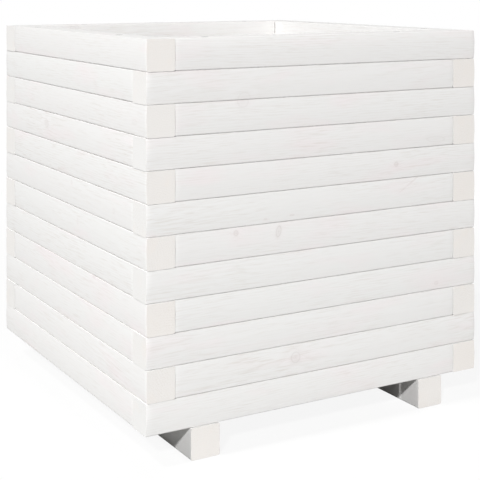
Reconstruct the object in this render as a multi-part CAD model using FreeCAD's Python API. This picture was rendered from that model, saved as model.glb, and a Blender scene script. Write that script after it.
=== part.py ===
# Stacked-batten planter: a square box of white-washed pine on two skids.
#
# Each course is a pinwheel of four equal battens: every batten butts against its neighbour at
# one end and runs on to the outer face at the other, where its end grain shows. Every other
# course is mirrored, so the corners lap as bricks do. Two countersunk screws fix each batten
# to the one below, at unequal distances from its ends, so that the mirrored screws of the
# next course never meet them. The floor is boards screwed across the skids, with drain slots.
#
# Millimetres. +Z is up, the front is towards -Y, and the origin is on the ground under the
# centre of the square.
import FreeCAD
import Part

import math
import os

from FreeCAD import Vector

# Plan and height
outer_width = 500.0
course_count = 12

# Wall battens
batten_thickness = 37.6
batten_height = 38.85
batten_arris = 1.5
batten_crown = 0.4  # how far the outer face swells at its middle
butted_end_to_screw = 50.0
open_end_to_screw = 120.0

# Skids, which run from front to back
skid_width = 39.0
skid_height = 38.85
skid_inset = 59.0
skid_arris = 1.5
skid_screw_share = 1 / 3  # of the batten's thickness, from the outer face

# Floor boards, which lie across the skids
board_count = 5
board_thickness = 18.0
board_arris = 1.5
drain_slot = 5.0
board_end_play = 2.0

# Wall screws, which also hold the skids
wall_screw_diameter = 5.0
wall_screw_head = 10.0
wall_screw_length = 60.0
wall_screw_point = 6.0
wall_screw_sink = 0.2

# Floor screws
floor_screw_diameter = 4.0
floor_screw_head = 8.0
floor_screw_length = 35.0
floor_screw_point = 5.0
floor_screw_sink = 0.8

# Screw holes
shank_play = 0.25
pilot_spare = 1.0

# Flat sides of a screw and its holes: near enough round where they are seen
seen_sides = 24
hidden_sides = 6

# How far every cut runs past the face that it breaks
overrun = 2.0

# Worked out from the sizes above
half_width = outer_width / 2
batten_length = outer_width - batten_thickness
inner_width = outer_width - 2 * batten_thickness
board_length = inner_width - 2 * board_end_play
board_width = (inner_width - (board_count + 1) * drain_slot) / board_count
skid_middle = half_width - skid_inset - skid_width / 2
floor_top = skid_height + board_thickness
walls = ("front", "right", "back", "left")
left_end = -half_width + batten_thickness
upright = Vector(0, 0, 1)
centre = Vector(0, 0, 0)


def export(name, shape):
    """Writes one sub-part."""
    shape.exportStep(os.path.join("parts", name + ".step"))


def distinct(points):
    """The points of a closed outline, without those that repeat the one before."""
    return [point for point, last in zip(points, points[-1:] + points[:-1]) if point != last]


def flat_face(points):
    """A flat face inside a closed outline of points."""
    return Part.Face(Part.makePolygon(points + points[:1]))


def turned(outline, sides):
    """A solid about the Z axis, with flat sides, from (radius, height) pairs given bottom up."""
    turns = [2 * math.pi * side / sides for side in range(sides)]
    rings = []
    for radius, height in outline:
        reach = radius / math.cos(math.pi / sides)
        rings.append([Vector(reach * math.cos(turn), reach * math.sin(turn), height) for turn in turns])
    loops = [rings[0], rings[-1]]
    for low, high in zip(rings, rings[1:]):
        loops += [[low[side - 1], low[side], high[side], high[side - 1]] for side in range(sides)]
    outlines = [distinct(loop) for loop in loops]
    faces = [flat_face(outline) for outline in outlines if len(outline) > 2]
    return Part.Solid(Part.Shell(faces))


def eased_bar(length, width, height, arris, crown=0):
    """A bar along X from the origin: four long arrises planed off, and the Y = 0 face crowned."""
    corners = [
        Vector(0, crown, height - arris),
        Vector(0, crown + arris, height),
        Vector(0, width - arris, height),
        Vector(0, width, height - arris),
        Vector(0, width, arris),
        Vector(0, width - arris, 0),
        Vector(0, crown + arris, 0),
        Vector(0, crown, arris),
    ]
    first, last = corners[0], corners[-1]
    if crown:
        outer = Part.Arc(last, Vector(0, 0, height / 2), first).toShape()
    else:
        outer = Part.makeLine(last, first)
    section = Part.Face(Part.Wire(Part.makePolygon(corners).Edges + [outer]))
    return section.extrude(Vector(length, 0, 0))


class Screw:
    """A countersunk screw driven down from Z = 0, and the holes that it needs."""

    def __init__(self, diameter, head, length, point, sink):
        self.shank = diameter / 2
        self.head = head / 2
        self.top = -sink
        self.tip = -sink - length
        self.point_top = self.tip + point
        self.mouth = self.head + sink
        self.bore = self.shank + shank_play

    def body(self, sides):
        """The screw: its head is a 45 degree cone, just below the surface."""
        neck = self.top - (self.head - self.shank)
        outline = [(0, self.tip), (self.shank, self.point_top), (self.shank, neck), (self.head, self.top)]
        return turned(outline, sides)

    def clearance(self, sides, thickness):
        """The countersunk hole through the piece that the screw clamps."""
        throat = self.bore - self.mouth
        lip = self.mouth + overrun
        return turned([(self.bore, -thickness - overrun), (self.bore, throat), (lip, overrun)], sides)

    def pilot(self, sides, thickness):
        """The blind hole in the next piece, whose face lies that far below the surface."""
        return turned([(self.shank, self.tip - pilot_spare), (self.shank, overrun - thickness)], sides)


wall_screw = Screw(
    wall_screw_diameter,
    wall_screw_head,
    wall_screw_length,
    wall_screw_point,
    wall_screw_sink,
)
floor_screw = Screw(
    floor_screw_diameter,
    floor_screw_head,
    floor_screw_length,
    floor_screw_point,
    floor_screw_sink,
)


def placed(shape, x, y, z):
    """A copy of the shape, moved."""
    return shape.translated(Vector(x, y, z))


def upturned(shape):
    """A copy of the shape turned over, so that what was driven down is driven up."""
    return shape.rotated(centre, Vector(1, 0, 0), 180)


def course_base(course):
    """The height of a course's underside; course 1 lies on the skids."""
    return skid_height + (course - 1) * batten_height


def screw_sides(course):
    """The flat sides of a course's screws, of which only the top course's are seen."""
    return seen_sides if course == course_count else hidden_sides


def laid(shape, course, quarter):
    """A front-wall shape turned to its wall, and mirrored first in every other course."""
    if (course_count - course) % 2 == 1:
        shape = shape.mirror(centre, Vector(1, 0, 0))
    return shape.rotated(centre, upright, 90 * quarter)


# Screws of a front batten, in a course that isn't mirrored
wall_middle = -half_width + batten_thickness / 2
screw_places = (left_end + butted_end_to_screw, half_width - open_end_to_screw)
skid_screw_place = half_width - skid_screw_share * batten_thickness


def driven(shape, top):
    """The two copies of a screw or hole at a front batten's screw places."""
    return [placed(shape, x, wall_middle, top) for x in screw_places]


def met(shape, top):
    """The same at the places of the course above, which is mirrored."""
    return [placed(shape, -x, wall_middle, top) for x in screw_places]


def batten(course, wall):
    """A front-wall batten of one course, with its screw holes."""
    base = course_base(course)
    top = base + batten_height
    plain = eased_bar(batten_length, batten_thickness, batten_height, batten_arris, batten_crown)
    holes = []
    if course > 1:
        holes += driven(wall_screw.clearance(screw_sides(course), batten_height), top)
    if course < course_count:
        holes += met(wall_screw.pilot(screw_sides(course + 1), batten_height), top + batten_height)
    if course == 1 and wall in ("front", "back"):
        pilot = upturned(wall_screw.pilot(hidden_sides, skid_height))
        holes += [placed(pilot, x, -skid_screw_place, 0) for x in (-skid_middle, skid_middle)]
    return placed(plain, left_end, -half_width, base).cut(holes)


def wall_screws(course):
    """The eight screws of one course."""
    body = wall_screw.body(screw_sides(course))
    top = course_base(course) + batten_height
    return [laid(screw, course, quarter) for quarter in range(len(walls)) for screw in driven(body, top)]


def board_middle(number):
    """The Y of a floor board's middle line; board 1 is at the front."""
    return (number - (board_count + 1) / 2) * (board_width + drain_slot)


def skid(x):
    """A skid about the line at x, bored for the screws that hold it and for the floor's."""
    plain = eased_bar(outer_width, skid_width, skid_height, skid_arris).rotated(centre, upright, 90)
    from_below = upturned(wall_screw.clearance(hidden_sides, skid_height))
    holes = [placed(from_below, x, y, 0) for y in (-skid_screw_place, skid_screw_place)]
    pilot = floor_screw.pilot(hidden_sides, board_thickness)
    holes += [placed(pilot, x, board_middle(number), floor_top) for number in range(1, board_count + 1)]
    return placed(plain, x + skid_width / 2, -half_width, 0).cut(holes)


def floor_board(number):
    """A floor board, countersunk over each skid."""
    middle = board_middle(number)
    plain = eased_bar(board_length, board_width, board_thickness, board_arris)
    hole = floor_screw.clearance(hidden_sides, board_thickness)
    holes = [placed(hole, x, middle, floor_top) for x in (-skid_middle, skid_middle)]
    return placed(plain, -board_length / 2, middle - board_width / 2, skid_height).cut(holes)


os.makedirs("parts", exist_ok=True)

for course in range(1, course_count + 1):
    for quarter, wall in enumerate(walls):
        export(f"course_{course:02d}_{wall}", laid(batten(course, wall), course, quarter))

export("left_skid", skid(-skid_middle))
export("right_skid", skid(skid_middle))

for number in range(1, board_count + 1):
    export(f"floor_board_{number}", floor_board(number))

# The screws of the top course are seen from above, and the others are hidden in the walls
export("rim_screws", Part.makeCompound(wall_screws(course_count)))
hidden = []
for course in range(2, course_count):
    hidden += wall_screws(course)
export("course_screws", Part.makeCompound(hidden))

skid_screw = upturned(wall_screw.body(hidden_sides))
skid_screws = []
for x in (-skid_middle, skid_middle):
    skid_screws += [placed(skid_screw, x, y, 0) for y in (-skid_screw_place, skid_screw_place)]
export("skid_screws", Part.makeCompound(skid_screws))

floor_pin = floor_screw.body(hidden_sides)
floor_pins = []
for number in range(1, board_count + 1):
    middle = board_middle(number)
    floor_pins += [placed(floor_pin, x, middle, floor_top) for x in (-skid_middle, skid_middle)]
export("floor_screws", Part.makeCompound(floor_pins))
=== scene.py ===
# %% [markdown]
# # A white-washed pine planter
#
# This planter is a square box without a lid: twelve courses of thick pine battens, stacked and
# screwed together like a log cabin, on two skids. The finish is a thin white wash, so the growth
# rings and the knots still show through it, very faintly.
#
# The construction is already there as a fixed frame: every batten, board and screw at its real
# size. Here each wooden piece gets the rounded edges, the grain and the paint that the plain
# solid lacks, and it lies exactly where the frame has it.

# %% Load the frame
import math

import bpy
import numpy as np
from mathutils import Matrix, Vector


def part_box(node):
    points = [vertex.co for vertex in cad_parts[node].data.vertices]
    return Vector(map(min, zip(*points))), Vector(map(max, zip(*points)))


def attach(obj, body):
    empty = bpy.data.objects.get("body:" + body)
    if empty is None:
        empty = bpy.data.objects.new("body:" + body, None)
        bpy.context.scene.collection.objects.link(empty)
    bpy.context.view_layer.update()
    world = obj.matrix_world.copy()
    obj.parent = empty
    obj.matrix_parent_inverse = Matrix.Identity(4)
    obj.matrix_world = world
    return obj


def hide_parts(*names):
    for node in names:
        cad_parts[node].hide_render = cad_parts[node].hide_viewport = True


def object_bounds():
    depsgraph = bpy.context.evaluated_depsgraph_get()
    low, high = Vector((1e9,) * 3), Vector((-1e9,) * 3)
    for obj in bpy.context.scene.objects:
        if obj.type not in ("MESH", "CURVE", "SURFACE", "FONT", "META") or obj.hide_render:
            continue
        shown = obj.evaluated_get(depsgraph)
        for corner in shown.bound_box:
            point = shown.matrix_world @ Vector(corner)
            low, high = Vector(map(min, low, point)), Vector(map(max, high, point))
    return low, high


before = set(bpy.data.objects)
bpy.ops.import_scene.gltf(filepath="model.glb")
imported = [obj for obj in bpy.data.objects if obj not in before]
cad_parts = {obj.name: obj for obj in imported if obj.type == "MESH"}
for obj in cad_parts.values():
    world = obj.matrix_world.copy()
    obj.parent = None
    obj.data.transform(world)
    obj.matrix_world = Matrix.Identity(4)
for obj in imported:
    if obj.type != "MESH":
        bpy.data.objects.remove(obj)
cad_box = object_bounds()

low, high = (np.array(corner) for corner in cad_box)
print("frame:", len(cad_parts), "nodes, box", low.round(4), high.round(4))

# %% [markdown]
# ## Units and chance
#
# Blender works in metres, and a joiner in millimetres. One value turns the second into the
# first, so that each size below reads as it would on a drawing. Wood is never twice the same,
# so some values are drawn by lot, from one generator with a fixed seed: every run draws alike.

# %% Units and chance
MM = 0.001
SEED = 12

lots = np.random.default_rng(SEED)
print("width, depth and height:", ((high - low) / MM).round(2), "mm")

# %% [markdown]
# ## The camera
#
# The picture was taken from a level camera at the height of a person sitting down, with a long
# lens, and the frame was slid down so that upright edges stay upright. In Blender that is a
# camera that isn't tilted and has a vertical shift. It is placed from the near corner of the
# planter: so far behind it along the view, and so far to its right.

# %% Camera
PICTURE_SIDE = 480
FOCAL_PIXELS = 1173.7
HORIZON_ABOVE_MIDDLE = 258.5  # pixels
SENSOR_WIDTH = 36.0  # millimetres, as lenses are given
VIEW_TURN = math.radians(29.96)
CORNER_AHEAD = 1371.1 * MM
CORNER_ASIDE = 109.4 * MM
EYE_HEIGHT = 572.5 * MM

ahead = np.array([math.sin(VIEW_TURN), math.cos(VIEW_TURN)])
rightward = np.array([math.cos(VIEW_TURN), -math.sin(VIEW_TURN)])
eye = low[:2] - ahead * CORNER_AHEAD + rightward * CORNER_ASIDE

camera_data = bpy.data.cameras.new("camera")
camera_data.sensor_width = SENSOR_WIDTH
camera_data.lens = SENSOR_WIDTH * FOCAL_PIXELS / PICTURE_SIDE
camera_data.shift_y = -HORIZON_ABOVE_MIDDLE / PICTURE_SIDE
camera = bpy.data.objects.new("camera", camera_data)
camera.location = (*eye, EYE_HEIGHT)
camera.rotation_euler = (math.radians(90), 0, -VIEW_TURN)
bpy.context.scene.collection.objects.link(camera)
bpy.context.scene.camera = camera
print("camera at", np.round(camera.location, 3), "lens", round(camera_data.lens, 1), "mm")

# %% [markdown]
# ## Colours and nodes
#
# Colours are written as a painter's tool shows them, in sRGB hex, and Blender's nodes want them
# linear. A material is a small graph, so one function adds a node to it: it sets the node's
# options, fills each input with a value or with a link, and gives a curve its stops.

# %% Helpers for colours and nodes


def linear(hex_colour):
    """An sRGB hex colour as linear RGBA: each channel c becomes ((c + 0.055) / 1.055) ** 2.4."""
    channels = np.array([int(hex_colour[i : i + 2], 16) for i in (1, 3, 5)]) / 255
    straight = np.where(channels <= 0.04045, channels / 12.92, ((channels + 0.055) / 1.055) ** 2.4)
    return (*straight.tolist(), 1.0)


def new_tree(owner):
    """The emptied node graph of a material or a world."""
    owner.use_nodes = True
    owner.node_tree.nodes.clear()
    return owner.node_tree


def add(tree, kind, inputs=(), stops=(), **options):
    """Adds a node, sets its options, fills its inputs and returns its outputs.

    The inputs are values or links, in the order of the node's sockets or else by name. The stops
    of a curve are (position, height) pairs between 0 and 1, joined as softly as a stain fades.
    """
    node = tree.nodes.new("ShaderNode" + kind)
    for option, value in options.items():
        setattr(node, option, value)
    for socket, value in inputs.items() if isinstance(inputs, dict) else enumerate(inputs):
        if isinstance(value, bpy.types.NodeSocket):
            tree.links.new(value, node.inputs[socket])
        else:
            node.inputs[socket].default_value = value
    if stops:
        curve = node.color_ramp
        curve.interpolation = "EASE"
        while len(curve.elements) < len(stops):
            curve.elements.new(0.5)
        for element, (position, height) in zip(curve.elements, stops):
            element.position, element.color = position, (height, height, height, 1)
    return node.outputs


WHITE = linear("#FFFFFF")
print("a middle grey, #808080, reflects", round(linear("#808080")[0], 3), "of the light")

# %% [markdown]
# ## Floor and background
#
# The planter was photographed on white paper that runs on as the background. A white floor under
# enough lamps would be as white, but those lamps would bleach the wood too. So the floor takes
# light and shadow as paper does, and for the camera alone it also glows. Away from the planter
# the glow takes over, because there is nothing left that could throw a shadow.
#
# The light that the floor throws back up is that of a grey card, darker further out. Real paper
# is paler, but with so much light from below the undersides would lose their shade.

# %% Paper
PAPER = "#F4F4F3"
CARD_NEAR_PLANTER = "#989897"
CARD_FAR_AWAY = "#606060"
GLOW_NEAR_PLANTER = 0.90
SHADOW_REACH = 700 * MM
GLOW_FULL_FROM = 1600 * MM


def camera_sees(tree):
    """1 for a ray that shows as background: straight to the camera, mirrored, or through glass."""
    rays = add(tree, "LightPath")
    direct, glossy, glass = (rays[f"Is {way} Ray"] for way in ("Camera", "Glossy", "Transmission"))
    either = add(tree, "Math", (direct, glossy), operation="MAXIMUM")[0]
    return add(tree, "Math", (either, glass), operation="MAXIMUM")[0]


# Matt white background paper: it shows no gloss and no texture, only white and a soft shadow
paper = bpy.data.materials.new("white_background_paper")
tree = new_tree(paper)
place = add(tree, "TexCoord")["Object"]
distance = add(tree, "VectorMath", (place,), operation="LENGTH")["Value"]
reach = (distance, SHADOW_REACH, GLOW_FULL_FROM)
far_away = add(tree, "MapRange", reach, interpolation_type="SMOOTHSTEP")[0]
glow = add(tree, "MapRange", {"Value": far_away, "To Min": GLOW_NEAR_PLANTER})[0]
glow_share = add(tree, "Math", (camera_sees(tree), glow), operation="MULTIPLY")[0]
cards = {"Factor": far_away, "A": linear(CARD_NEAR_PLANTER), "B": linear(CARD_FAR_AWAY)}
card = add(tree, "Mix", cards, data_type="RGBA")["Result"]
lit_or_seen = {"Factor": camera_sees(tree), "A": card, "B": linear(PAPER)}
sheet_colour = add(tree, "Mix", lit_or_seen, data_type="RGBA")["Result"]
matt = add(tree, "BsdfDiffuse", {"Color": sheet_colour})[0]
glowing = add(tree, "Emission", {"Color": WHITE, "Strength": 1.0})[0]
sheet = add(tree, "MixShader", (glow_share, matt, glowing))[0]
add(tree, "OutputMaterial", {"Surface": sheet})
print("the paper glows fully from", GLOW_FULL_FROM, "m on")

# %% Floor
FLOOR_HALF_SIDE = 60.0

floor_mesh = bpy.data.meshes.new("floor")
floor_corners = FLOOR_HALF_SIDE * np.array([(-1, -1, 0), (1, -1, 0), (1, 1, 0), (-1, 1, 0)])
floor_mesh.from_pydata(floor_corners.tolist(), [], [(0, 1, 2, 3)])
floor_mesh.materials.append(paper)
floor = bpy.data.objects.new("floor", floor_mesh)
bpy.context.scene.collection.objects.link(floor)
print("the floor is", 2 * FLOOR_HALF_SIDE, "m square")

# %% [markdown]
# ## Light
#
# Plain studio light. Each lamp is a disc that looks at the planter, and is given by where it
# stands and by its level: at level 1 it alone would show a colour just as it is written, on a
# surface that faces it. For a disc lamp at a distance d that takes pi squared times d squared
# watts.
#
# The key light stands to the front left and lights both walls that are seen. Two lamps share the
# rest of the left side: the higher one clears the left rim, and through the slot in front of the
# first floor board it throws a strip of light on the right skid. Two wide, low ones fill the
# front and, from behind on the right, the walls that the picture doesn't show.

# %% Lamps
LAMPS = {
    # name: (degrees from the front towards the left, climb, distance and diameter in m, level)
    "key": (42, 31.0, 8.0, 0.55, 0.70),
    "left": (90, 35.5, 12.0, 0.80, 0.335),
    "left_high": (88, 56.0, 9.0, 0.30, 0.37),
    "front_fill": (-3, 7.0, 9.0, 1.80, 0.355),
    "back_fill": (-118, 6.0, 9.0, 1.80, 0.42),
}

middle = Vector((low + high) / 2)
for name, (turn, climb, away, diameter, level) in LAMPS.items():
    data = bpy.data.lights.new(name, "AREA")
    data.shape = "DISK"
    data.size = diameter
    data.energy = level * math.pi**2 * away**2
    lamp = bpy.data.objects.new(name, data)
    turn, climb = math.radians(turn), math.radians(climb)
    level_part = math.cos(climb)
    outward = Vector((-math.sin(turn) * level_part, -math.cos(turn) * level_part, math.sin(climb)))
    lamp.location = middle + outward * away
    lamp.rotation_euler = outward.to_track_quat("Z", "Y").to_euler()
    bpy.context.scene.collection.objects.link(lamp)
    print(name, "gives", round(data.energy), "W from", np.round(lamp.location, 2))

# %% Surroundings
WORLD_LEVEL = 0.03

world = bpy.data.worlds.new("studio")
tree = new_tree(world)
strength = add(tree, "MapRange", {"Value": camera_sees(tree), "To Min": WORLD_LEVEL})[0]
backdrop = add(tree, "Background", {"Color": WHITE, "Strength": strength})[0]
add(tree, "OutputWorld", {"Surface": backdrop})
bpy.context.scene.world = world
bpy.context.scene.view_settings.view_transform = "Standard"
print("the surroundings give", WORLD_LEVEL, "of a white wall's light")

# %% [markdown]
# ## Growth rings
#
# Pine grows a pale, soft ring each spring and a narrow, hard, dark one each summer. A plank is
# a flat cut through those rings, so their pattern isn't drawn on the plank: it follows from
# where in the log the plank was. Each piece below therefore carries its place in its own log, in
# millimetres, as an attribute named log: x along the trunk, y and z across it from the pith. The
# rings are a function of the distance from the pith, so they run on round every edge and turn
# into arcs on the sawn ends.
#
# No trunk is quite round, and round a knot the rings swirl. So the place is moved a little by
# soft blotches first, and the distance grows towards a knot.

# %% Blotches and rings
RING_WIDTH = 3.1
RING_STOPS = ((0.0, 0), (0.2, 0), (0.85, 1), (1.0, 0))  # spring wood, then summer wood
WANDER = 9.0
WANDER_BLOTCHES = (220, 34, 34)
SWIRL = 3.4
SWIRL_REACH = (0.4, 4.0)  # from the knot's middle, in radii of the knot


def blotches(tree, place, sizes, detail=2.0):
    """Noise at the place over the sizes, so its blotches are about so long along each axis."""
    shrink = tuple(1 / size for size in sizes)
    shrunk = add(tree, "VectorMath", (place, shrink), operation="MULTIPLY")[0]
    return add(tree, "TexNoise", {"Vector": shrunk, "Scale": 1.0, "Detail": detail})


def summer_wood(tree, log, radii, nearness):
    """How far a point is into summer wood: a curve over the fraction of its ring number.

    The ring number is (r + SWIRL * s) / RING_WIDTH. Here r is the distance from the pith, after
    the place has moved by up to half of WANDER, and s falls from 1 at a knot to 0 away from it.
    """
    soft = blotches(tree, log, WANDER_BLOTCHES)["Color"]
    centred = add(tree, "VectorMath", (soft, (0.5, 0.5, 0.5)), operation="SUBTRACT")[0]
    moved = add(tree, "VectorMath", {0: centred, "Scale": WANDER}, operation="SCALE")[0]
    bent = add(tree, "VectorMath", (log, moved), operation="ADD")[0]
    across = add(tree, "VectorMath", (bent, (0, 1, 1)), operation="MULTIPLY")[0]
    radius = add(tree, "VectorMath", (across,), operation="LENGTH")["Value"]
    near_knot = add(tree, "MapRange", (radii, *SWIRL_REACH, 1, 0))[0]
    swirl = add(tree, "Math", (near_knot, nearness), operation="MULTIPLY")[0]
    swollen = add(tree, "Math", (swirl, SWIRL, radius), operation="MULTIPLY_ADD")[0]
    number = add(tree, "Math", (swollen, 1 / RING_WIDTH), operation="MULTIPLY")[0]
    phase = add(tree, "Math", (number,), operation="FRACT")[0]
    return add(tree, "ValToRGB", (phase,), RING_STOPS)[0]


print("a 38 mm batten cuts about", round(38 / RING_WIDTH), "rings")

# %% [markdown]
# ## The wash and what shows through
#
# The wash is thin white paint wiped into the wood. It hides nearly all of the grain: what is left
# is a show-through of a few percent, a constant share everywhere and more on summer wood and on
# the fibres where the wash is thin. Real fibres are finer than a picture can show, so they are
# drawn as coarse as they need to show, a millimetre or two across.
#
# Resin tints the wash a little pink, in long soft patches and in a halo round the knots.

# %% Show-through and resin
BARE_SHARE = 0.05
RING_SHARE_LEAST = 0.01
SUMMER_MEAN = 0.45
FIBRE_NOISE, FIBRE_SHARES = (0.5, 0.78), (-0.01, 0.155)
COVER_BLOTCHES = (150, 40, 40)
COVER_NOISE, VEIL = (0.3, 0.7), (0.2, 1.8)
RESIN_BLOTCHES = (110, 30, 30)
RESIN_NOISE, RESIN_SHARES = (0.54, 0.74), (0, 0.5)
HALO_REACH, HALO_SHARES = (1.0, 4.5), (0.16, 0)


def show_through(tree, log, summer, fibre, thinness, ring_share):
    """The share of bare pine that shows: BARE_SHARE + (rings + fibres) * veil.

    The rings are counted from their mean, so that stronger ones leave the batten as light. The
    veil is how thinly the wash lies: the piece's own thinness, more here and less there.
    """
    offset = RING_SHARE_LEAST - SUMMER_MEAN * ring_share
    rings_show = add(tree, "Math", (summer, ring_share, offset), operation="MULTIPLY_ADD")[0]
    fibres_show = add(tree, "MapRange", (fibre, *FIBRE_NOISE, *FIBRE_SHARES))[0]
    grain = add(tree, "Math", (rings_show, fibres_show), operation="ADD")[0]
    cover = blotches(tree, log, COVER_BLOTCHES)["Fac"]
    uneven = add(tree, "MapRange", (cover, *COVER_NOISE, *VEIL))[0]
    veil = add(tree, "Math", (uneven, thinness), operation="MULTIPLY")[0]
    return add(tree, "Math", (grain, veil, BARE_SHARE), operation="MULTIPLY_ADD")[0]


def resin(tree, log, radii, nearness):
    """How pink the wash is: patches + halo * nearness, where the halo falls with the radii."""
    soft = blotches(tree, log, RESIN_BLOTCHES)["Fac"]
    patches = add(tree, "MapRange", (soft, *RESIN_NOISE, *RESIN_SHARES))[0]
    halo = add(tree, "MapRange", (radii, *HALO_REACH, *HALO_SHARES))[0]
    return add(tree, "Math", (halo, nearness, patches), operation="MULTIPLY_ADD")[0]


print("bare pine shows by", BARE_SHARE, "and up to", FIBRE_SHARES[1], "more on a fibre")

# %% [markdown]
# ## White-washed pine
#
# The two finishes differ only in what the wood does to the wash. A planed face has long fibres
# and a clean white. A sawn end drinks more of the wash and yellows it, and its fibres are cut
# across, so they are dots. A knot has a dark heart, paler wood and a dark ring of bark. It is a
# second attribute, the place relative to the nearest knot in radii of that knot.
#
# The paint is matt: no lamp is mirrored in it, and only at a low angle does it shine a little.

# %% Pine
WASH = "#EEEEED"
WARM_WASH = "#F1E9EA"
WASH_ON_ENDS = "#F1EDE9"
PINE = "#C6BBAF"
KNOT = "#A1938A"
KNOT_STAIN = 0.34
KNOT_STOPS = (
    # (half the radii from the knot's middle, how dark)
    (0.0, 0.55), (0.12, 0.3), (0.36, 0.2), (0.47, 0.55), (0.58, 0.12), (0.9, 0),
)
MATT_PAINT = {"Roughness": 0.85, "IOR": 1.5, "Specular IOR Level": 0.12}
SUMMER_RELIEF = 0.6
RELIEF = 0.03 * MM


def washed_pine(name, tint, tint_from, fibre_sizes, ring_share):
    """Pine under a white wash: rings, fibres and knots that show through by a few percent.

    The finish is an attribute too: x is how thinly the wash lies, y how warm it is on a planed
    face, and z how much a sawn end drank. The last two say how much of the tint there is.
    """
    material = bpy.data.materials.new(name)
    tree = new_tree(material)
    log, knot, finish = (
        add(tree, "Attribute", attribute_name=fact)["Vector"] for fact in ("log", "knot", "finish")
    )
    finish = add(tree, "SeparateXYZ", (finish,))
    nearness = add(tree, "SeparateXYZ", (knot,))["Z"]
    flat = add(tree, "VectorMath", (knot, (1, 1, 0)), operation="MULTIPLY")[0]
    radii = add(tree, "VectorMath", (flat,), operation="LENGTH")["Value"]

    # the wash and the bare wood that shows through it
    summer = summer_wood(tree, log, radii, nearness)
    fibre = blotches(tree, log, fibre_sizes, detail=3.0)["Fac"]
    show = show_through(tree, log, summer, fibre, finish["X"], ring_share)
    tinted = (resin(tree, log, radii, nearness), finish[tint_from])
    warmth = add(tree, "Math", tinted, operation="ADD")[0]
    washes = {"Factor": warmth, "A": linear(WASH), "B": linear(tint)}
    wash = add(tree, "Mix", washes, data_type="RGBA")["Result"]
    layers = {"Factor": show, "A": wash, "B": linear(PINE)}
    wood = add(tree, "Mix", layers, data_type="RGBA")["Result"]

    # knots
    half_radii = add(tree, "Math", (radii, 0.5), operation="MULTIPLY")[0]
    darkness = add(tree, "ValToRGB", (half_radii,), KNOT_STOPS)[0]
    here = add(tree, "Math", (darkness, nearness), operation="MULTIPLY")[0]
    stain = add(tree, "Math", (here, KNOT_STAIN), operation="MULTIPLY")[0]
    stained = {"Factor": stain, "A": wood, "B": linear(KNOT)}
    colour = add(tree, "Mix", stained, data_type="RGBA")["Result"]

    # relief: summer wood and fibres stand proud by a few hundredths of a millimetre
    height = add(tree, "Math", (summer, SUMMER_RELIEF, fibre), operation="MULTIPLY_ADD")[0]
    normal = add(tree, "Bump", {"Height": height, "Distance": RELIEF})["Normal"]
    surface = {"Base Color": colour, "Normal": normal} | MATT_PAINT
    shader = add(tree, "BsdfPrincipled", surface)[0]
    add(tree, "OutputMaterial", {"Surface": shader})
    return material


# Planed pine: fine lines along the batten. Sawn pine: dots, and a warmer white.
long_grain = washed_pine("white_washed_pine_planed", WARM_WASH, "Y", (26, 1.6, 1.6), 0.036)
end_grain = washed_pine("white_washed_pine_sawn_end", WASH_ON_ENDS, "Z", (4, 1.1, 1.1), 0.025)
print("finishes:", long_grain.name, "and", end_grain.name)

# %% [markdown]
# ## A planed bar
#
# Every wooden piece here is a planed bar: one cross-section carried along a straight line, with
# its long edges rounded by the planer's cutters. The wall battens have one more thing, which
# shows only in the light: their outer face is crowned by about a millimetre, so each batten is
# lighter at its top than at its foot.
#
# A cube with a bevel would give the edges but not the crown. So the outline of the section is
# worked out as an array of points and repeated along the bar, a little smaller at the very ends,
# where the saw cut has been wiped with sandpaper.

# %% The section of a bar
ARC_STEPS = 5
EDGE_ROW = 0.35
OUTLINE_SPACING = 3.0


def section(width, height, edges, crown, inset=0.0):
    """A bar's closed outline as rows of (across, up), in millimetres, anticlockwise.

    Quarter circles stand at the corners of a box that is inset all round, with the lower and the
    upper edges' radii less the inset, and straight rows of points join them. On the outer side,
    at +across, the row swells: at the share t of its half height from its middle it lies
    crown * (1 - t ** 2) beyond the chord.
    """
    lower, upper = (edge - inset for edge in edges)
    half_width, half_height = width / 2 - inset, height / 2 - inset
    turns = np.radians(np.linspace(-90, 0, ARC_STEPS + 1))
    corners = []
    for quarter, radius in enumerate((lower, upper, upper, lower)):
        x = half_width - radius - crown if quarter < 2 else radius - half_width
        y = half_height - radius if quarter in (1, 2) else radius - half_height
        angles = turns + quarter * math.pi / 2
        corners.append(np.column_stack((x + radius * np.cos(angles), y + radius * np.sin(angles))))
    rows = []
    for side, corner in enumerate(corners):
        start, end = corner[-1], corners[(side + 1) % 4][0]
        first = EDGE_ROW / np.abs(end - start).max()
        count = max(3, round((width if side % 2 else height) / OUTLINE_SPACING))
        shares = np.concatenate(([first], np.linspace(0, 1, count)[1:-1], [1 - first]))
        row = start + (end - start) * shares[:, None]
        if side == 0:
            row[:, 0] += crown * (1 - (2 * shares - 1) ** 2)
        rows += [corner, row]
    return np.concatenate(rows)


print("points round a bar of 38 by 38 mm:", len(section(38, 38, (2, 1), crown=1)))

# %% The bar
END_STEPS = 3
SAWN_EDGE = 0.12
STATION_STEP = 7.0


def bar_points(length, width, height, edges, crown):
    """The bar's surface as a grid of points (station, outline, xyz), in millimetres.

    Stations lie evenly along x. At each end the last few follow a quarter circle of radius
    SAWN_EDGE: at the angle a they stand SAWN_EDGE * (1 - sin a) from the end and are inset by
    SAWN_EDGE * (1 - cos a).
    """
    angles = np.radians(np.linspace(90, 0, END_STEPS + 1))
    from_end = SAWN_EDGE * (1 - np.sin(angles))
    insets = SAWN_EDGE * (1 - np.cos(angles))
    stations = max(3, round(length / STATION_STEP))
    inner = np.linspace(SAWN_EDGE, length - SAWN_EDGE, stations)[1:-1]
    places = np.concatenate((from_end, inner, length - from_end[::-1])) - length / 2
    insets = np.concatenate((insets, np.zeros(len(inner)), insets[::-1]))
    loops = np.stack([section(width, height, edges, crown, inset) for inset in insets])
    along = np.broadcast_to(places[:, None, None], (*loops.shape[:2], 1))
    return np.concatenate((along, loops), axis=2)


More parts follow.
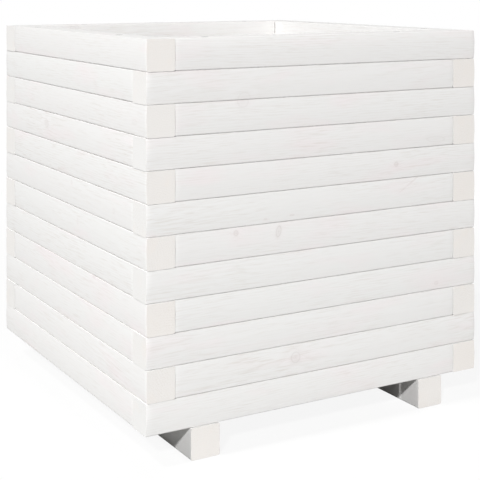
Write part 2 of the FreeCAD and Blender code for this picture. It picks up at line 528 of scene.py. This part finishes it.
print("stations in a metre of it:", len(bar_points(1000, 38, 38, (2, 1), crown=1)))

# %% [markdown]
# ## From a grid to a piece
#
# The grid of points becomes a mesh: four neighbours make a face, the outline closes on itself,
# and one flat face covers each end. A piece's object stays at the origin, and its place is in
# its mesh, as it is for the parts of the frame.

# %% Grid to mesh


def new_piece(name, grids, materials, side_material=0, end_material=0):
    """One object from grids of points in metres (row, column, xyz), each closed along its columns.

    Each point joins the next in its row and in the next row, and a flat face closes each end.
    """
    points, faces, is_end = [], [], []
    start = 0
    for grid in grids:
        rows, columns = grid.shape[:2]
        index = start + np.arange(rows * columns).reshape(rows, columns)
        beside = np.roll(index, -1, axis=1)
        sides = np.stack((index[:-1], beside[:-1], beside[1:], index[1:]), axis=-1).reshape(-1, 4)
        faces += sides.tolist() + [index[0, ::-1].tolist(), index[-1].tolist()]
        is_end += [False] * len(sides) + [True, True]
        points.append(grid.reshape(-1, 3))
        start += rows * columns
    mesh = bpy.data.meshes.new(name)
    mesh.from_pydata(np.concatenate(points).tolist(), [], faces)
    mesh.polygons.foreach_set("use_smooth", ~np.array(is_end))
    mesh.polygons.foreach_set("material_index", np.where(is_end, end_material, side_material))
    for material in materials:
        mesh.materials.append(material)
    piece = bpy.data.objects.new(name, mesh)
    bpy.context.scene.collection.objects.link(piece)
    return piece


def vectors(items, name):
    """One vector of each vertex or face of a mesh, as an array."""
    flat = np.empty(len(items) * 3, np.float32)
    items.foreach_get(name, flat)
    return flat.reshape(-1, 3)


# %% [markdown]
# ## How a bar lies
#
# A bar lies in the box that the frame gives it. Its own directions are along, outward and up. In
# that order they make a right-handed set, so that no piece comes out as a mirror image.
#
# Boards that only touch would show no line between them. Real ones never meet quite, so a bar
# may stop short of its neighbour by a hairline joint, and clear the one below by a finer seam.

# %% The place of a bar
UP = np.array([0.0, 0.0, 1.0])


class Lie:
    """Where a bar lies: its middle in metres, its own three directions, and its size in millimetres.

    An end that butts against another bar, and so isn't in an outer face, stops short by the joint,
    and the underside clears the piece below by the seam.
    """

    def __init__(self, node, outward, joint=0.0, seam=0.0):
        corners = np.array(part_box(node))
        corners[0, 2] += seam * MM
        run = int(np.argmax(np.abs(np.cross(outward, UP))))
        butts = np.abs(corners[:, run]) < high[run] - MM
        corners[butts, run] -= np.sign(corners[butts, run]) * joint * MM
        self.middle = corners.mean(axis=0)
        self.axes = np.stack((np.cross(outward, UP), outward, UP))
        self.size = np.abs(self.axes @ (corners[1] - corners[0])) / MM

    def to_frame(self, points):
        """Millimetres along, outward and up from the middle, as metres in the frame."""
        return self.middle + points @ self.axes * MM

    def from_frame(self, points):
        """Metres in the frame as millimetres along, outward and up from the middle."""
        return (points - self.middle) @ self.axes.T / MM


front_size = Lie("course_01_front", (0, -1, 0)).size
print("a front batten is", front_size.round(2), "mm long, thick and high")

# %% [markdown]
# ## The piece's place in its log
#
# Three attributes feed the pine. The first is the place in the log: the bar's own millimetres,
# shifted by a lot so that the pith lies somewhere outside it, and leaning a little, because no
# plank is cut quite along the trunk. The second is the place relative to the nearest knot, with
# a third number that fades to nothing away from it. The last is the finish.
#
# All are smooth over the mesh, so each point needs only its own value, and the fine lines are
# left to the material.

# %% Places relative to a knot
KNOT_FADES_FROM = 4.0
KNOT_GONE_AT = 5.5


def smoothstep(values):
    """0 below 0, 1 above 1, and 3 v^2 - 2 v^3 between."""
    values = np.clip(values, 0, 1)
    return values * values * (3 - 2 * values)


def knot_places(local, knots):
    """For each point its (u, v) from the nearest knot, in radii of it, and that knot's strength.

    A knot is (along, up, half length, half height, tilt in degrees, strength), in millimetres
    from the bar's middle. (u, v) is the way to it, turned by the tilt and over its half sizes.
    """
    nearest = np.full(len(local), np.inf)
    found = np.zeros((len(local), 3))
    for along, up, half_length, half_height, tilt, strength in knots:
        dx, dy = local[:, 0] - along, local[:, 2] - up
        turn = math.radians(tilt)
        u = (dx * math.cos(turn) + dy * math.sin(turn)) / half_length
        v = (dy * math.cos(turn) - dx * math.sin(turn)) / half_height
        radii = np.hypot(u, v)
        fade = 1 - smoothstep((radii - KNOT_FADES_FROM) / (KNOT_GONE_AT - KNOT_FADES_FROM))
        near = radii < nearest
        nearest[near] = radii[near]
        found[near] = np.column_stack((u, v, strength * fade))[near]
    return found


print("a knot fades out between", KNOT_FADES_FROM, "and", KNOT_GONE_AT, "of its radii")

# %% Log and finish
PITH_DISTANCE = (30, 110)
TRUNK_LENGTH = 4000
LEAN = 0.015
WARMTH = (0, 0.08)
USUAL_SOAK = 0.7
SOAK_SPREAD = 0.2


def set_attribute(piece, name, values):
    """Stores one vector for each point."""
    attribute = piece.data.attributes.new(name, "FLOAT_VECTOR", "POINT")
    attribute.data.foreach_set("vector", values.astype(np.float32).ravel())


def grow(piece, lie, knots, thinness=1.0, soak=USUAL_SOAK):
    """Gives a piece its place in a log of its own, its knots, and its finish.

    The finish is how thinly the wash lies, how warm it is, and how much the sawn ends drank.
    """
    local = lie.from_frame(vectors(piece.data.vertices, "co"))
    angle = lots.uniform(0, 2 * math.pi)
    depth = lots.uniform(*PITH_DISTANCE)
    lean = lots.normal(0, LEAN, 2)
    along = lots.uniform(0, TRUNK_LENGTH)
    log = local + (along, depth * math.cos(angle), depth * math.sin(angle))
    log[:, 1:] += local[:, :1] * lean
    set_attribute(piece, "log", log)
    finish = (thinness, lots.uniform(*WARMTH), soak + lots.uniform(-SOAK_SPREAD, SOAK_SPREAD))
    set_attribute(piece, "finish", np.tile(finish, (len(local), 1)))
    set_attribute(piece, "knot", knot_places(local, knots))


print("the pith lies", PITH_DISTANCE, "mm from a piece's middle")

# %% [markdown]
# ## Screws
#
# The frame says where each screw stands: its tip is the lowest point, or the highest where the
# screw was driven up. A real screw has what the frame's plain form leaves out: a six-lobed drive
# recess in a head with a narrow flat rim, a plain neck, and a thread. A turned shape would give
# the cone but neither the lobes nor the thread, so the whole skin is one grid: rings that start
# in the recess, climb over the head and run down to the tip.

# %% Where the screws stand
TIP_REACH = 0.01


def screw_axes(node, driven_up=False):
    """The x, y of each of the node's screws and the height of their heads, in millimetres."""
    points = vectors(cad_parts[node].data.vertices, "co") / MM
    heights = points[:, 2]
    tip, head = (heights.max(), heights.min()) if driven_up else (heights.min(), heights.max())
    axes = np.unique(points[np.abs(heights - tip) < TIP_REACH, :2].round(2), axis=0)
    return [(x, y, head) for x, y in axes.tolist()]


rim_axes = screw_axes("rim_screws")
floor_axes = screw_axes("floor_screws")
skid_axes = screw_axes("skid_screws", driven_up=True)
print("screws on the rim:", len(rim_axes), "floor:", len(floor_axes), "skids:", len(skid_axes))

# %% The skin of a screw
WALL_SCREW = {"diameter": 5.0, "head": 10.0, "length": 60.0, "point": 6.0, "pitch": 2.9}
FLOOR_SCREW = {"diameter": 4.0, "head": 8.0, "length": 35.0, "point": 5.0, "pitch": 2.2}
SCREW_COLUMNS = 48
ROWS_PER_TURN = 7
CORE_SHARE = 0.64
LOBES = 6
LOBE_DEPTH = 0.32
RECESS_RADIUS = 2.1
RECESS_DEPTH = 2.2
HEAD_RISE = 0.19
HEAD_LAND = 0.25
TIP_SHARE = 0.03


def rings(radii, heights, columns):
    """Points (row, column, xyz) of rings about Z; radii may have one value for each column too."""
    turns = np.linspace(0, -2 * math.pi, columns, endpoint=False)
    radii = np.broadcast_to(radii, (len(heights), columns))
    upward = np.broadcast_to(heights[:, None], radii.shape)
    return np.stack((radii * np.cos(turns), radii * np.sin(turns), upward), axis=-1)


def screw_skin(diameter, head, length, point, pitch):
    """A countersunk wood screw down from the origin, as rings from the recess to the tip.

    In the recess the radius at turn t is r + lobe * cos(6 t). On the thread it is the core's plus
    the thread's depth times a ridge, which is 1 where height / pitch + t / 2 pi is half past a
    whole number and falls to 0 a quarter turn away on both sides. Toward the point all of it
    shrinks to nearly nothing.
    """
    crest, core, rim = diameter / 2, diameter / 2 * CORE_SHARE, head / 2
    plain_end = -(rim - core) - diameter
    over = np.array([
        # radius, height, lobe
        (RECESS_RADIUS * 0.8, -RECESS_DEPTH, LOBE_DEPTH),  # bottom of the recess
        (RECESS_RADIUS * 0.93, -RECESS_DEPTH + 0.1, LOBE_DEPTH),
        (RECESS_RADIUS, HEAD_RISE - 0.2, LOBE_DEPTH),  # its bevelled mouth
        (RECESS_RADIUS + 0.1, HEAD_RISE, LOBE_DEPTH),
        (rim * 0.66, HEAD_RISE, 0),  # top of the head
        (rim - 0.3, HEAD_RISE * 0.9, 0),
        (rim - 0.08, HEAD_RISE * 0.4, 0),  # its rounded rim
        (rim, 0, 0),
        (rim, -HEAD_LAND, 0),
        (core, -HEAD_LAND - (rim - core), 0),  # foot of the cone
        (core, plain_end, 0),
    ])
    threaded = np.arange(plain_end, -length, -pitch / ROWS_PER_TURN)[1:]
    heights = np.concatenate((over[:, 1], threaded, [-length]))[:, None]
    turns = np.linspace(0, 1, SCREW_COLUMNS, endpoint=False)[None]
    lobes = np.interp(np.arange(len(heights)), np.arange(len(over)), over[:, 2], right=0)[:, None]
    body = np.concatenate((over[:, 0], np.full(len(threaded) + 1, core)))[:, None]
    phase = (heights / pitch + turns) % 1
    ridge = np.clip(1 - 4 * np.abs(phase - 0.5), 0, 1) * smoothstep((plain_end - heights) / pitch)
    taper = np.clip((heights + length) / point, TIP_SHARE, 1)
    radii = (body + (crest - core) * ridge) * taper + lobes * np.cos(2 * math.pi * LOBES * turns)
    return rings(radii, heights[:, 0], SCREW_COLUMNS)


def driven(skin, axis, driven_up=False):
    """A screw's or hole's skin, moved to its place and turned over if it was driven up."""
    turn = (1, -1, -1) if driven_up else (1, 1, 1)
    return (skin * turn + axis) * MM


wall_skin = screw_skin(**WALL_SCREW)
floor_skin = screw_skin(**FLOOR_SCREW)
print("rings in a wall screw:", len(wall_skin), "and in a floor screw:", len(floor_skin))

# %% [markdown]
# ## Screw holes
#
# Each hole that can be seen is countersunk, and a little wider than its screw. It can't be part
# of the bar's grid, whose rows and columns run straight, so it is a closed skin of its own that
# is subtracted from the bar. The wall of the hole takes the finish of a sawn end.

# %% Holes
WALL_HOLE_DEPTH = 45.0  # right through a batten or a skid
FLOOR_HOLE_DEPTH = 25.0  # right through a board
HOLE_COLUMNS = 40
SHANK_PLAY = 0.25
MOUTH_PLAY = 0.15
OVERRUN = 1.0
SLACK = 1.0
HOLE_CREASE = math.radians(30)
SQUARE_ON = 0.9999  # cosine between a face and the bar's run, for a sawn end


def hole_skin(screw, depth):
    """A countersunk hole down from the origin, as rings from past the surface to its bottom."""
    shaft, mouth = screw["diameter"] / 2 + SHANK_PLAY, screw["head"] / 2 + MOUTH_PLAY
    radii = np.array([mouth + OVERRUN, mouth, shaft, shaft])[:, None]
    heights = np.array([OVERRUN, 0, shaft - mouth, -depth])
    return rings(radii, heights, HOLE_COLUMNS)


def is_within(lie, grid):
    """Whether the hole's middle lies within the bar."""
    middle = np.abs(lie.from_frame(grid.reshape(-1, 3).mean(axis=0)))
    return bool((middle < lie.size / 2 + SLACK).all())


def bore(piece, lie, holes):
    """Takes out of a piece those holes that lie within it."""
    inside = [grid for grid in holes if is_within(lie, grid)]
    cutter = new_piece("cutter", inside, [long_grain, end_grain], side_material=1, end_material=1)
    cut = piece.modifiers.new("holes", "BOOLEAN")
    cut.solver, cut.object = "EXACT", cutter
    graph = bpy.context.evaluated_depsgraph_get()
    plain, piece.data = piece.data, bpy.data.meshes.new_from_object(piece.evaluated_get(graph))
    piece.modifiers.clear()
    bpy.data.objects.remove(cutter)
    bpy.data.meshes.remove(plain)
    piece.data.set_sharp_from_angle(angle=HOLE_CREASE)
    is_end = np.abs(vectors(piece.data.polygons, "normal") @ lie.axes[0]) > SQUARE_ON
    piece.data.polygons.foreach_set("use_smooth", ~is_end)


wall_hole = hole_skin(WALL_SCREW, WALL_HOLE_DEPTH)
floor_hole = hole_skin(FLOOR_SCREW, FLOOR_HOLE_DEPTH)
rim_holes = [driven(wall_hole, axis) for axis in rim_axes]
skid_holes = [driven(wall_hole, axis, driven_up=True) for axis in skid_axes]
floor_holes = [driven(floor_hole, axis) for axis in floor_axes]
print("holes to bore:", len(rim_holes) + len(skid_holes) + len(floor_holes))

# %% [markdown]
# ## Knots that are seen, and knots by lot
#
# The knots that the picture shows are listed one by one, by how far they lie from the near corner
# and how high on their batten. Their outlines are plain ovals, which is as much as shows under
# the wash. The battens of the right and back walls and the floor boards get a knot or none, by
# lot. The other battens draw their lot too and don't use it, so that the listed knots change
# nothing elsewhere.

# %% Knots listed and by lot
SEEN_KNOTS = {
    # (course, wall): (mm from the near corner, share of the batten's height,
    #                  half length, half height, tilt, strength)
    (11, "front"): [(133, 0.02, 9, 9, 0, 0.35)],
    (10, "front"): [(131, 0.97, 8, 8, 0, 0.45)],
    (9, "front"): [(432, 0.25, 16, 4, 4, 0.4)],
    (8, "front"): [(365, 0.51, 3.0, 2.8, 0, 1.3)],
    (7, "front"): [
        (392, 0.86, 20, 0.8, -30, 0.8),
        (202, 0.19, 3, 1, 0, 1.2),
        (163, 0.16, 2, 1, 0, 0.9),
    ],
    (6, "front"): [(182, 0.72, 3.5, 7, 15, 1.2), (121, 0.83, 3, 3, 0, 1.3)],
    (4, "front"): [(433, 0.23, 3, 2.5, 0, 0.7), (55, 0.47, 17, 0.7, -6, 0.4)],
    (2, "front"): [(207, 0.58, 6.8, 6.8, 20, 0.9)],
    (10, "left"): [(33, 0.41, 6, 3, 0, 0.4)],
    (9, "left"): [(327, 0.59, 7, 5, 15, 0.8)],
    (7, "left"): [(233, 0.81, 2, 2, 0, 0.7), (94, 0.41, 3, 3, 0, 0.5)],
    (6, "left"): [(212, 0.56, 3, 3, 0, 0.6)],
    (4, "left"): [(158, 0.97, 4, 1, 0, 1.2)],
}
KNOT_CHANCE = 0.4
KNOT_RADIUS = (2, 6)
KNOT_STRETCH = 1.15
KNOT_ALONG, KNOT_UP = 0.42, 0.5  # greatest share of the bar's length and height from its middle
KNOT_TILT = 20
KNOT_STRENGTH = (0.3, 0.6)


def seen_knots(course, wall, lie):
    """The knots that the picture shows on a batten, in its own millimetres."""
    along_wall = np.array((MM, 0, 0) if wall == "front" else (0, MM, 0))
    knots = []
    for distance, share, *form in SEEN_KNOTS.get((course, wall), ()):
        place = lie.from_frame(low + along_wall * distance)
        knots.append((place[0], (share - 0.5) * lie.size[2], *form))
    return knots


def chance_knots(lie):
    """No knot or one, anywhere but near the ends."""
    length, _, height = lie.size
    radius = lots.uniform(*KNOT_RADIUS)
    along = lots.uniform(-KNOT_ALONG, KNOT_ALONG) * length
    up = lots.uniform(-KNOT_UP, KNOT_UP) * height
    tilt, strength = lots.uniform(-KNOT_TILT, KNOT_TILT), lots.uniform(*KNOT_STRENGTH)
    knot = (along, up, radius * KNOT_STRETCH, radius, tilt, strength)
    return [knot] if lots.random() < KNOT_CHANCE else []


print("knots placed by hand:", sum(map(len, SEEN_KNOTS.values())))

# %% [markdown]
# ## The walls
#
# Forty-eight battens. One block with grooves would look much the same from far off, but the
# lapped corners, the sawn ends and the grain of each batten ask for separate pieces. Each takes
# its box from the frame and stands for the plain solid there.
#
# In the picture the walls differ a little, so each has its own crown, its own joint where a
# batten butts against the next wall, and sawn ends that drank more or less of the wash. The
# lower edge is the rounder one. With the seam below it, it makes the thin dark line between two
# courses.

# %% Wall battens
COURSES = 12
BATTEN_EDGES = (1.75, 0.35)  # radius of the lower and the upper edges
SEAM = 0.24
WALLS = {
    # wall: (outward direction, crown, joint, how much the sawn ends drank)
    "front": ((0, -1, 0), 1.2, 0.5, 0.18),
    "right": ((1, 0, 0), 0.9, 0.6, 0.85),
    "back": ((0, 1, 0), 0.7, 1.5, 0.35),
    "left": ((-1, 0, 0), 0.6, 0.35, 0.7),
}
THIN_WASH = {
    # (course, wall): times as much show-through as on the others
    (11, "front"): 0.8,
    (7, "front"): 1.2,
    (4, "front"): 1.1,
    (2, "front"): 1.25,
    (12, "left"): 0.7,
    (9, "left"): 1.5,
    (8, "left"): 1.3,
    (5, "left"): 1.3,
}


def planed_bar(name, node, outward, edges, crown=0.0, joint=0.0, seam=0.0):
    """A planed bar that stands for a node of the frame."""
    lie = Lie(node, outward, joint, seam)
    grid = bar_points(*lie.size, edges, crown)
    piece = new_piece(name, [lie.to_frame(grid)], [long_grain, end_grain], end_material=1)
    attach(piece, "root")
    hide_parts(node)
    return piece, lie


for course in range(1, COURSES + 1):
    for wall, (outward, crown, joint, soak) in WALLS.items():
        label = f"{course:02d}_{wall}"
        names = "batten_" + label, "course_" + label
        piece, lie = planed_bar(*names, outward, BATTEN_EDGES, crown, joint, SEAM)
        if course == COURSES:
            bore(piece, lie, rim_holes)
        by_lot = chance_knots(lie)
        knots = by_lot if wall in ("right", "back") else seen_knots(course, wall, lie)
        grow(piece, lie, knots, THIN_WASH.get((course, wall), 1.0), soak)
print("battens:", COURSES * len(WALLS), "and faces in the last:", len(piece.data.polygons))

# %% [markdown]
# ## Skids and floor
#
# Two skids run from front to back, and five boards lie across them, a few millimetres apart so
# that water can leave. They are the same planed pine without the crown, so the same function
# makes them, and only their edges differ.

# %% Skids and floor boards
SKID_EDGES = (2.2, 1.0)
BOARD_EDGES = (1.5, 1.5)
BOARDS = 5

for side in ("left", "right"):
    piece, lie = planed_bar(side + "_skid_wood", side + "_skid", (1, 0, 0), SKID_EDGES)
    bore(piece, lie, skid_holes)
    grow(piece, lie, [])
print("a skid is", lie.size.round(2), "mm long, wide and high")

for number in range(1, BOARDS + 1):
    node = f"floor_board_{number}"
    piece, lie = planed_bar(node + "_wood", node, (0, 1, 0), BOARD_EDGES)
    bore(piece, lie, floor_holes)
    grow(piece, lie, chance_knots(lie))
print("a floor board is", lie.size.round(2), "mm long, wide and thick")

# %% [markdown]
# ## Zinc and the screws
#
# Zinc-plated wood screws. The plating is grey and softly shiny, with a mottle that is finer than
# a picture can show and is drawn as coarse as it needs to. Those of the rim were brushed over
# with the wash: it has dulled them to a matt grey, with some white left on it. The screws of the
# courses below are shut inside the walls, so the frame's plain ones stay there.

# %% Zinc
ZINC = "#A9ABAD"
DULL_ZINC = "#7F8183"
MOTTLE = 0.9 * MM
MOTTLE_NOISE = (0.35, 0.65)
THIN_FILM, THICK_FILM = 0.7, 1.2


def zinc(name, bare_colour, film, metallic, roughness):
    """Zinc plating with a fine mottle, under a film of white wash that hides so much of it."""
    material = bpy.data.materials.new(name)
    tree = new_tree(material)
    place = add(tree, "TexCoord")["Object"]
    mottle = blotches(tree, place, (MOTTLE, MOTTLE, MOTTLE), detail=3.0)["Fac"]
    films = (film * THIN_FILM, film * THICK_FILM)
    cover = add(tree, "MapRange", (mottle, *MOTTLE_NOISE, *films))[0]
    colours = {"Factor": cover, "A": linear(bare_colour), "B": linear(WASH)}
    colour = add(tree, "Mix", colours, data_type="RGBA")["Result"]
    surface = {"Base Color": colour, "Metallic": metallic, "Roughness": roughness}
    shader = add(tree, "BsdfPrincipled", surface)[0]
    add(tree, "OutputMaterial", {"Surface": shader})
    return material


# Bright plating mirrors the studio softly; under the wash it is hardly metal to the eye
bright_zinc = zinc("bright_zinc_plating", ZINC, 0.04, metallic=0.95, roughness=0.45)
washed_zinc = zinc("dulled_zinc_plating_under_wash", DULL_ZINC, 0.2, metallic=0.1, roughness=0.8)
print("finishes:", bright_zinc.name, "and", washed_zinc.name)

# %% Screws
SCREW_CREASE = math.radians(40)


def screws(name, node, skin, axes, material, driven_up=False):
    """One piece with all the screws of a node."""
    piece = new_piece(name, [driven(skin, axis, driven_up) for axis in axes], [material])
    piece.data.set_sharp_from_angle(angle=SCREW_CREASE)
    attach(piece, "root")
    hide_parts(node)
    print(name, "has", len(piece.data.polygons), "faces")


screws("rim_screws_driven", "rim_screws", wall_skin, rim_axes, washed_zinc)
screws("skid_screws_driven", "skid_screws", wall_skin, skid_axes, bright_zinc, driven_up=True)
screws("floor_screws_driven", "floor_screws", floor_skin, floor_axes, bright_zinc)

hidden_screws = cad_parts["course_screws"].data.materials
hidden_screws.clear()
hidden_screws.append(bright_zinc)
